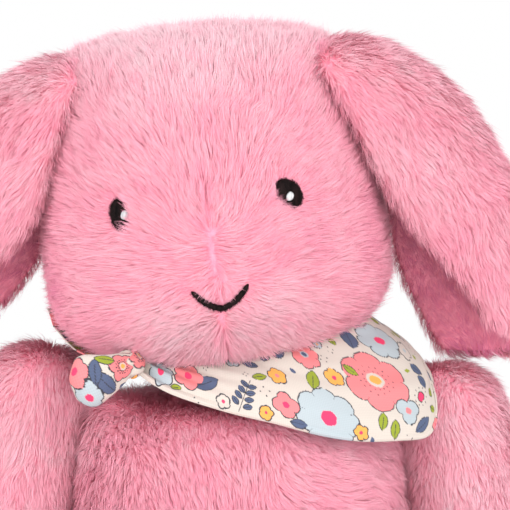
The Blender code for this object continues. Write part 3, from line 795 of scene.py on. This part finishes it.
def spray(at, size, turn):
    """A stem with paired leaves."""
    made = []
    way = np.array([math.cos(turn), math.sin(turn)])
    cross = np.array([-way[1], way[0]])
    for k in range(4):
        for hand in (-1, 1):
            place = np.array(at) + way * size * (0.25 * k) + cross * hand * size * (0.22 - 0.03 * k)
            made.append(leaf(tuple(place), size * 0.17, SLATE, turn + hand * 1.0))
    made.append(Motif("stem", tuple(at), size, INK, turn))
    return made


def turned(d, turn):
    """Distances along and across a direction on the cloth."""
    way = np.array([math.cos(turn), math.sin(turn)])
    return d @ way, d @ np.array([-way[1], way[0]])


def circle(far, angle):
    return np.array([far * math.cos(angle), far * math.sin(angle)])


def print_on(place, motifs, seed):
    """Colours of a flower print at flat places on the cloth, in millimetres."""
    flat = np.stack([place[:, 0], place[:, 1], 0 * place[:, 0]], axis=1)
    colour = np.tile(np.array(CREAM), (len(place), 1))
    shaky = wobble(flat, 2.2, seed) * 0.10
    broken = wobble(flat, 5.0, seed + 1) > -1.05
    for motif in motifs:
        size = motif.size
        d = place - np.array(motif.at)
        near = (np.abs(d) < size * 1.7 + 1).all(axis=1)
        r, t = np.hypot(d[:, 0], d[:, 1]), np.arctan2(d[:, 1], d[:, 0])
        if motif.kind == "flower":
            n, turn = motif.petals, motif.turn
            edge = size * (1 - motif.wave * (1 - np.abs(np.cos(n / 2 * (t - turn))) ** 0.7)) + shaky
            colour[near & (r < edge)] = motif.colour
            colour[near & (np.abs(r - edge) < 0.20) & broken] = INK
            vein = (np.abs(np.sin(n / 2 * (t - turn + math.pi / n))) * r < 0.22) & (r > size * 0.72) & (r < edge)
            colour[near & vein & broken & (size > 3.5)] = INK
            if motif.ring is not None:
                colour[near & (r < size * 0.26 + shaky)] = motif.ring
            colour[near & (r < size * (0.17 if motif.ring is not None else 0.24) + shaky)] = motif.heart
            if motif.seeds:
                for k in range(30):
                    far = size * (0.34 + 0.15 * (k % 2)) * (1 + 0.05 * math.sin(7 * k))
                    seed_at = circle(far, 2 * math.pi * k / 30)
                    colour[near & (np.hypot(*(d - seed_at).T) < 0.24)] = INK
        elif motif.kind == "leaf":
            u, v = turned(d, motif.turn)
            half = size * 0.55 * np.clip(1 - (u / size) ** 2, 0, None) ** 0.8 + shaky * 0.5
            inside = (np.abs(u) < size) & (np.abs(v) < half)
            colour[near & inside] = motif.colour
            if size > 1.5:
                colour[near & (np.abs(u) < size * 1.03) & (np.abs(np.abs(v) - half) < 0.14) & broken] = INK
                colour[near & inside & (np.abs(v) < 0.12) & (u < size * 0.5)] = INK
        elif motif.kind == "stem":
            u, v = turned(d, motif.turn)
            colour[near & (u > -size * 0.3) & (u < size) & (np.abs(v) < 0.12)] = INK
        else:
            for k in range(motif.count):
                dot_at = circle(size, 2 * math.pi * k / motif.count + 0.3)
                colour[near & (np.hypot(*(d - dot_at).T) < motif.grain)] = motif.colour
    return colour


def scattered(low, high, seed):
    """A seeded all-over layout of motifs for the cloth that the front layout leaves bare."""
    rng = np.random.default_rng(seed)
    placed, made = [], []
    for _ in range(900):
        at = rng.uniform(low, high)
        size = rng.choice([1.6, 2.4, 3.4, 4.6])
        if all(math.dist(at, other) > size + was + 1.0 for other, was in placed):
            placed.append((at, size))
    for k, (at, size) in enumerate(placed):
        at = tuple(at)
        turn = rng.uniform(0, 6.28)
        if size > 4:
            made.append(flower(at, size, 6, CORAL if k % 2 else MIST, AMBER if k % 2 else ROSE, CREAM, turn,
                    k % 2 == 1))
        elif size > 3:
            made += spray(at, size * 1.3, turn) if k % 3 == 0 else [flower(at, size, 5, CORAL, SLATE, MIST, turn)]
        elif size > 2:
            made.append(leaf(at, size, (OLIVE, SLATE, OLIVE)[k % 3], turn) if k % 2
                    else flower(at, size, 5, AMBER, ROSE, None, turn))
        else:
            made.append(dots(at, size * 0.7, 3) if k % 2 else leaf(at, size, OLIVE, turn))
    return made


def fillers(motifs, low, high, seed):
    """Small leaves, buds and dots for the ground between the larger motifs."""
    rng = np.random.default_rng(seed)
    taken = [(m.at, m.size * (1.15 if m.kind == "flower" else 1.0)) for m in motifs]
    made = []
    for k in range(1500):
        at, size = tuple(rng.uniform(low, high)), (2.7, 2.0, 1.3)[min(k // 500, 2)]
        if any(math.dist(at, other) < size + reach + 0.2 for other, reach in taken):
            continue
        taken.append((at, size))
        kind, turn = rng.integers(6), rng.uniform(0, 6.28)
        if kind < 2:
            made.append(leaf(at, size, (OLIVE, SLATE)[kind], turn))
        elif kind == 2:
            made.append(flower(at, size, 5, CORAL, ROSE, None, turn))
        elif kind == 3:
            made.append(flower(at, size, 5, MIST, AMBER, None, turn))
        else:
            made.append(dots(at, size * 0.62, 4, INK, 0.24))
    return made


def cotton_material():
    """Printed cotton lawn: the dye sits in a fine plain weave."""
    made = new_material("printed_cotton_lawn")
    _, nodes, links, shader = made
    dye = nodes.new("ShaderNodeVertexColor")
    dye.layer_name = "dye"
    strip = nodes.new("ShaderNodeUVMap")
    strip.uv_map = "weave"
    weave = nodes.new("ShaderNodeMath")
    weave.operation = "ADD"
    for socket, way in enumerate("XY"):
        thread = settle(nodes.new("ShaderNodeTexWave"), Scale=0.55, Distortion=0.6, Detail=2)
        thread.bands_direction = way
        links.new(strip.outputs[0], thread.inputs["Vector"])
        links.new(thread.outputs["Fac"], weave.inputs[socket])
    fade = ramp(nodes, ((0.0, (0.93, 0.93, 0.93)), (1.0, (1.05, 1.05, 1.05))))
    half = nodes.new("ShaderNodeMath")
    half.operation = "MULTIPLY"
    half.inputs[1].default_value = 0.5
    links.new(weave.outputs[0], half.inputs[0])
    links.new(half.outputs[0], fade.inputs[0])
    tint = nodes.new("ShaderNodeMixRGB")
    tint.blend_type = "MULTIPLY"
    tint.inputs[0].default_value = 1.0
    links.new(dye.outputs[0], tint.inputs[1])
    links.new(fade.outputs[0], tint.inputs[2])
    links.new(tint.outputs[0], shader.inputs["Base Color"])
    bumped(made, half.outputs[0], 0.25, 0.0001)
    settle(shader, Roughness=0.82, Specular_IOR_Level=0.2, Sheen_Weight=0.1)
    return made[0]


COTTON = cotton_material()


def rail_at(rail, t):
    """A smooth curve through a rail's points, for t from 0 to 1."""
    rail = np.array(rail, float)
    n = len(rail) - 1
    x = np.clip(np.asarray(t, float), 0, 1) * n
    i = np.clip(np.floor(x).astype(int), 0, n - 1)
    f = (x - i)[:, None]
    padded_rail = np.vstack([2 * rail[0] - rail[1], rail, 2 * rail[-1] - rail[-2]])
    a, b, c, d = (padded_rail[i + k] for k in range(4))
    return 0.5 * (2 * b + (c - a) * f + (2 * a - 5 * b + 4 * c - d) * f ** 2 + (3 * b - a - 3 * c + d) * f ** 3)


def cloth(name, grid, flat, motifs, seed):
    """Printed cotton from a grid of points and their flat places on the cloth, both in millimetres."""
    rows, columns = grid.shape[:2]
    faces = grid_faces(rows, columns)
    mesh = array_mesh(name, grid.reshape(-1, 3) * MM, faces, np.arange(len(faces)) * 4)
    place = flat.reshape(-1, 2)
    dye = mesh.color_attributes.new("dye", "FLOAT_COLOR", "POINT")
    tint = np.concatenate([print_on(place, motifs, seed), np.ones((len(place), 1))], axis=1)
    dye.data.foreach_set("color", tint.astype(np.float32).ravel())
    span = np.maximum(np.ptp(place, axis=0), 1e-6)
    for layer, spots in (("OFBake", (place - place.min(axis=0)) / span), ("weave", place)):
        add_uv(mesh, layer, spots[faces.ravel()])
    mesh.materials.append(COTTON)
    piece = linked(name, mesh)
    smooth_shade(piece)
    thicken(piece, CLOTH_THICK)
    return piece


def grid_normals(grid):
    across = np.gradient(grid, axis=1)
    down = np.gradient(grid, axis=0)
    return unit(np.cross(across, down))


KERCHIEF_HEM = (
    (-35, -36, 121.5), (-28, -39.5, 117), (-20, -42.5, 113.5), (-5, -45.5, 109), (10, -46.5, 105.5),
    (26, -45.5, 101), (40, -42, 98.5), (53, -36.5, 98), (61.5, -31.5, 98.3), (64.8, -26, 102), (65, -20, 111),
    (63.5, -10, 118), (60, 3, 121), (54, 16, 119), (45, 29, 114.5), (20, 46.5, 111), (-14, 48, 110.5),
    (-40, 33, 112.5), (-51, 8, 115.5), (-49, -16, 118),
)
KERCHIEF_MIDDLE = (
    (-34, -34, 122.5), (-27, -37.5, 120), (-19, -40.5, 117.5), (-5, -43.5, 115.5), (10, -44.5, 114.5),
    (24, -43, 113.5), (37, -38, 113), (50, -30.5, 114), (57.5, -23, 117), (60.5, -16, 120), (59.5, -8, 124),
    (56.5, 0, 127), (53, 9, 125.5), (47, 20, 121), (40, 30, 117.5), (18, 44.5, 115), (-13, 46, 114.5),
    (-38, 31, 116), (-48.5, 6, 119), (-47, -17, 121),
)
KERCHIEF_TOP = (
    (-32, -31, 123.5), (-27, -32, 122.5), (-18, -34, 122), (-5, -35, 122), (10, -34.5, 122.5), (21, -32, 124),
    (29, -27, 128), (36, -19, 132.5), (41, -12, 135), (42.5, -7, 136), (43.5, -1, 136), (43, 5, 134),
    (41, 12, 130), (38, 21, 125), (32, 30, 120), (16, 40, 118), (-12, 40, 118), (-34, 28, 119), (-44, 5, 121),
    (-42, -18, 122.5),
)


def hugging(line, gap):
    """Moves a line of points, in millimetres, to lie a small gap off the head where it runs close by."""
    out = line.copy()
    for k, point in enumerate(line):
        place, normal, _, far = head_tree.find_nearest(Vector(point * MM))
        if far < 24 * MM:
            out[k] = np.array(place) / MM + np.array(normal) * gap
    window = np.ones(21) / 21
    wide = np.concatenate([out[:1].repeat(10, axis=0), out, out[-1:].repeat(10, axis=0)])
    return np.stack([np.convolve(wide[:, k], window, "valid") for k in range(3)], axis=1)


FRONT_PRINT = (  # places are x and z in the front view, in millimetres
    flower((47.0, 129.0), 8.4, 7, MIST, ROSE, None, 0.4, wave=0.16), leaf((36.5, 130.0), 5.4, SLATE, 1.2),
    flower((21.5, 126.0), 6.2, 7, CORAL, SLATE, MIST, 0.2),
    flower((29.5, 106.5), 10.2, 7, MIST, ROSE, None, 0.7, wave=0.15),
    flower((45.0, 117.2), 11.8, 6, CORAL, AMBER, CREAM, 0.35, True, wave=0.2),
    flower((31.2, 118.6), 3.6, 5, AMBER, ROSE, None, 0.3), leaf((24.2, 118.2), 4.0, OLIVE, 1.3),
    leaf((36.6, 120.8), 2.8, OLIVE, -0.8), leaf((47.4, 104.6), 3.0, OLIVE, 1.3),
    leaf((51.4, 101.6), 3.2, OLIVE, 1.5), flower((15.4, 111.0), 4.3, 4, CORAL, ROSE, None, 0.2, wave=0.3),
    leaf((-10.5, 117.4), 4.8, SLATE, 0.6), flower((-16.5, 119.5), 5.4, 5, CORAL, ROSE, None, 0.1, wave=0.25),
    flower((-25.5, 121.0), 4.8, 6, MIST, ROSE, None, 0.6), Motif("spray", (1.0, 111.5), 9.5, SLATE, 1.25),
    flower((56.0, 107.0), 4.8, 3, MIST, CORAL, None, 0.4, wave=0.38),
    flower((60.4, 111.0), 1.6, 3, ROSE, ROSE, None, 0.0, wave=0.02), dots((60.4, 111.0), 3.0, 10, INK, 0.26),
    leaf((60.8, 102.2), 3.8, SLATE, 0.5), leaf((59.0, 119.4), 3.0, SLATE, 1.9),
    leaf((61.0, 115.8), 2.6, SLATE, 1.7), dots((28.0, 124.4), 1.5, 4, INK, 0.28),
    dots((39.9, 103.0), 1.4, 4, INK, 0.28), dots((8.6, 115.2), 1.6, 4, INK, 0.28),
    flower((55.5, 125.2), 3.6, 5, CREAM, MIST, None, 0.2), flower((40.0, 101.3), 2.6, 5, AMBER, ROSE, None, 0.6),
    flower((8.9, 108.6), 2.3, 5, AMBER, ROSE, None, 0.1), leaf((19.6, 104.8), 2.6, SLATE, 0.1),
    flower((12.5, 119.6), 3.4, 5, AMBER, CORAL, None, 0.7), leaf((6.8, 119.4), 2.6, OLIVE, 0.4),
    leaf((-20.5, 116.0), 2.0, OLIVE, 0.3), flower((-5.0, 112.0), 2.4, 5, CREAM, ROSE, None, 0.5),
)


def on_cloth(motif, at):
    """A motif of the table at its place on the flat cloth, or the parts that it is made of."""
    return spray(at, motif.size, motif.turn) if motif.kind == "spray" else [motif._replace(at=at)]


def kerchief():
    """The kerchief's band and its point over the shoulder, as one sheet round the neck."""
    columns, rows = ((1300, 104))
    front_columns = int(columns * 0.8)
    ahead = np.linspace(0, FRONT_SHARE, front_columns, endpoint=False)
    t = np.concatenate([ahead, np.linspace(FRONT_SHARE, 1, columns - front_columns)])
    hem, middle, top = (rail_at(rail, t) for rail in (KERCHIEF_HEM, KERCHIEF_MIDDLE, KERCHIEF_TOP))
    top = hugging(top, 1.6)
    curve = 2 * middle - (hem + top) / 2
    v = np.linspace(0, 1, rows)[:, None, None]
    grid = top[None] * (1 - v) ** 2 + curve[None] * 2 * v * (1 - v) + hem[None] * v ** 2
    run = run_along(middle)
    rise = np.linalg.norm(np.diff(grid, axis=0), axis=2)
    up = np.concatenate([np.cumsum(rise[::-1], axis=0)[::-1], np.zeros((1, columns))], axis=0)
    flat = np.stack(np.broadcast_arrays(run[None], up), axis=2)
    out = grid_normals(grid)
    out = out * np.where((out * (grid - np.array([0, 0, 112.0]))).sum(axis=2, keepdims=True) < 0, -1, 1)
    lie = flat.reshape(-1, 2)
    lie3 = np.stack([lie[:, 0] * 0.22 + lie[:, 1] * 0.10, lie[:, 1] * 0.55, 0 * lie[:, 0]], axis=1)
    folds = wobble(lie3, 7.5, 301).reshape(up.shape) * 0.45
    drawn = np.exp(-run / 16)[None] * 1.1 * np.sin(up * 1.25 + 0.5 + run[None] * 0.06)
    rolled = 0.55 * np.exp(-((up - 0.9) / 0.75) ** 2) - 0.12 * np.exp(-((up - 2.3) / 0.25) ** 2)
    grid = grid + out * (folds + drawn + rolled)[..., None]
    front = (grid[..., 1] < 2) & (t[None] < FRONT_SHARE)

    def at(x, z):
        far = np.where(front, np.hypot(grid[..., 0] - x, grid[..., 2] - z), 1e9)
        i, j = np.unravel_index(far.argmin(), far.shape)
        return tuple(flat[i, j])

    motifs = [part for motif in FRONT_PRINT for part in on_cloth(motif, at(*motif.at))]
    front_end = float(run[front_columns])
    motifs = fillers(motifs, (0.0, 0.0), (front_end, float(up.max())), 88) + motifs
    motifs += scattered((front_end, 0), (float(run[-1]), 30), 77)
    piece = cloth("kerchief_cloth", grid, flat, motifs, 500)
    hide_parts("kerchief")
    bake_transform(piece)


def kerchief_end(name, node, spine, reach, seed, lean=(0.0, 0.0, 1.0), curl=(200, -35), depth=0.55):
    """A short end of the kerchief: a strip curled into a trough along its spine."""
    columns, rows = ((90, 110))
    t = np.linspace(0, 1, columns)
    middle = rail_at(spine, t)
    along = unit(np.gradient(middle, axis=0))
    upward = unit(np.array(lean)[None] - (along @ np.array(lean))[:, None] * along)
    outward = unit(np.cross(upward, along))
    width = rail_at([(w, 0, 0) for w in reach], t)[:, 0]
    angle = np.radians(np.linspace(curl[0], curl[1], rows))[:, None, None]
    around = np.sin(angle) * upward[None] + np.cos(angle) * outward[None] * depth
    grid = middle[None] + around * width[None, :, None]
    run = run_along(middle)
    turned_by = np.abs(np.linspace(curl[0], curl[1], rows) - curl[0])
    up = np.radians(turned_by)[:, None] * width.mean() * (1 + depth) / 2
    flat = np.stack(np.broadcast_arrays(run[None], up), axis=2)
    spot = flat.reshape(-1, 2)
    spot3 = np.stack([spot[:, 0] * 0.6, spot[:, 1], 0 * spot[:, 0]], axis=1)
    grid = grid + grid_normals(grid) * wobble(spot3, 6.0, seed).reshape(rows, columns)[..., None] * 0.35
    wide, long = float(run[-1]), float(up.max())
    motifs = [
        flower((wide * 0.25, long * 0.45), 4.6, 6, CORAL, AMBER, CREAM, 0.4, True),
        leaf((wide * 0.55, long * 0.35), 3.6, SLATE, 1.1),
        flower((wide * 0.80, long * 0.30), 3.8, 6, MIST, ROSE, None, 0.1),
        flower((wide * 0.85, long * 0.58), 3.6, 5, CORAL, ROSE, None, 0.9),
        leaf((wide * 0.62, long * 0.52), 3.0, SLATE, 2.0), leaf((wide * 0.45, long * 0.62), 2.8, OLIVE, 0.4),
    ]
    motifs = fillers(motifs, (0, 0), (wide, long), seed + 5) + motifs
    piece = cloth(name, grid, flat, motifs, seed)
    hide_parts(node)
    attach(piece, "torso")


def knot():
    """The knot: a tight roll of cloth with creases that wrap round it."""
    centre, columns, rows = np.array([-35.5, -37.0, 123.5]), 60, 48
    a = np.linspace(0, 2 * math.pi, columns)[None]
    b = np.linspace(0.06, math.pi - 0.06, rows)[:, None]
    crease = 1 + 0.07 * np.sin(3 * a + 5 * b) + 0.05 * np.sin(7 * b + a)
    ball = [4.6 * np.sin(b) * np.cos(a), 4.0 * np.sin(b) * np.sin(a), 4.4 * np.cos(b) + 0 * a]
    grid = np.stack([part * crease for part in ball], axis=2) + centre
    flat = np.stack(np.broadcast_arrays(a * 4.5, b * 4.5), axis=2)
    piece = cloth("kerchief_knot_cloth", grid, flat, scattered((0, 0), (28, 14), 91), 92)
    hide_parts("kerchief_knot")
    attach(piece, "torso")


kerchief()
knot()
kerchief_end("kerchief_end_lower_cloth", "kerchief_end_lower",
             ((-34.5, -38, 125), (-39, -41, 122.5), (-44, -43, 120.2), (-49.5, -43, 118), (-53, -41, 116.5)),
             (2.6, 4.6, 7.2, 8.2, 5.0), 611, lean=(-0.3, 0.0, 1.0), curl=(-115, 150), depth=0.5)
kerchief_end("kerchief_end_upper_cloth", "kerchief_end_upper",
        ((-45, -24, 122), (-52, -17, 127), (-58, -10, 133), (-62, -6, 140)),
             (3.0, 4.0, 4.6, 3.4), 641, lean=(-1.0, 0.0, 0.4), curl=(-60, 70), depth=0.35)


def care_label():
    """A blank woven label: a strip of satin ribbon, caught in the seam."""
    made, nodes, links, shader = new_material("label_satin")
    place = nodes.new("ShaderNodeTexCoord")
    rib = settle(nodes.new("ShaderNodeTexWave"), Scale=700)
    rib.bands_direction = "Z"
    links.new(place.outputs["Object"], rib.inputs["Vector"])
    tone = ramp(nodes, ((0.0, (0.70, 0.66, 0.62)), (1.0, (0.84, 0.81, 0.78))))
    links.new(rib.outputs["Fac"], tone.inputs[0])
    links.new(tone.outputs[0], shader.inputs["Base Color"])
    settle(shader, Roughness=0.4)
    steps, rows = 24, 16
    low, high = (np.array(c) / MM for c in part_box("care_label"))
    start, stop = np.array([low[0], low[1] + 2.0]), np.array([high[0] + 3.0, high[1] - 1.5])
    points = []
    for i in range(steps + 1):
        u = i / steps
        for j in range(rows + 1):
            v = j / rows
            flat = start + (stop - start) * u
            sag = 2.6 * u * u + 0.5 * math.sin(3.1 * u + 1.4 * v)
            points.append(np.array([flat[0], flat[1], low[2] + 4.0 + 10.0 * v - sag]) * MM)
    piece = mesh_from("care_label_ribbon", points, grid_faces(steps + 1, rows + 1)[:, [0, 3, 2, 1]])
    piece.data.materials.append(made)
    thicken(piece, 0.6)
    smooth_shade(piece)
    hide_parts("care_label")
    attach(piece, "torso")


care_label()
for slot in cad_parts["neck_stitching"].material_slots:
    slot.material = PINK

# ---- floor, light and camera
turns = np.linspace(0, 2 * math.pi, 96, False)
floor = mesh_from("floor", [(0.45 * math.cos(t), 0.45 * math.sin(t), 0.0) for t in turns], [tuple(range(96))])
pale, nodes, links, shader = new_material("pale_floor")
settle(shader, Base_Color=(0.90, 0.89, 0.88, 1), Roughness=0.6)
floor.data.materials.append(pale)

world = bpy.data.worlds.new("studio")
SCENE.world = world
world.use_nodes = True
wn, wl = world.node_tree.nodes, world.node_tree.links
glow = settle(wn["Background"], Color=(1, 1, 1, 1), Strength=0.74)
paper = settle(wn.new("ShaderNodeBackground"), Color=(1, 1, 1, 1), Strength=1.0)
path = wn.new("ShaderNodeLightPath")
both = wn.new("ShaderNodeMixShader")
wl.new(path.outputs["Is Camera Ray"], both.inputs[0])
wl.new(glow.outputs[0], both.inputs[1])
wl.new(paper.outputs[0], both.inputs[2])
wl.new(both.outputs[0], wn["World Output"].inputs[0])


def softbox(name, place, target, size, power):
    light = bpy.data.lights.new(name, "AREA")
    light.shape = "DISK"
    light.size = size
    light.energy = power
    lamp = linked(name, light)
    lamp.location = place
    lamp.rotation_euler = (Vector(target) - Vector(place)).to_track_quat("-Z", "Y").to_euler()


CHEST = (0, 0, 0.15)
softbox("key", (0.55, -0.80, 0.75), CHEST, 0.7, 5.4)
softbox("fill", (-0.8, -0.6, 0.35), CHEST, 0.8, 4.4)
softbox("rim", (-0.35, 0.9, 0.7), CHEST, 0.7, 3.0)
softbox("low", (0.15, -1.0, 0.12), (0, 0, 0.11), 0.5, 4.2)
softbox("top", (0.05, 0.15, 1.1), CHEST, 0.8, 2.2)

SCENE.view_settings.view_transform = "Standard"
SCENE.view_settings.look = "None"
ELEVATION = math.radians(4)
DISTANCE, FRAME_WIDTH, SENSOR = 0.9, 0.170, 36
TARGET = Vector((5.33, -20, 158)) * MM
camera = linked("camera", bpy.data.cameras.new("camera"))
camera.location = TARGET + Vector((0, -math.cos(ELEVATION), math.sin(ELEVATION))) * DISTANCE
camera.rotation_euler = (TARGET - camera.location).to_track_quat("-Z", "Y").to_euler()
camera.data.sensor_width = SENSOR
camera.data.lens = SENSOR * DISTANCE / FRAME_WIDTH
camera.data.clip_end = 20
SCENE.camera = camera
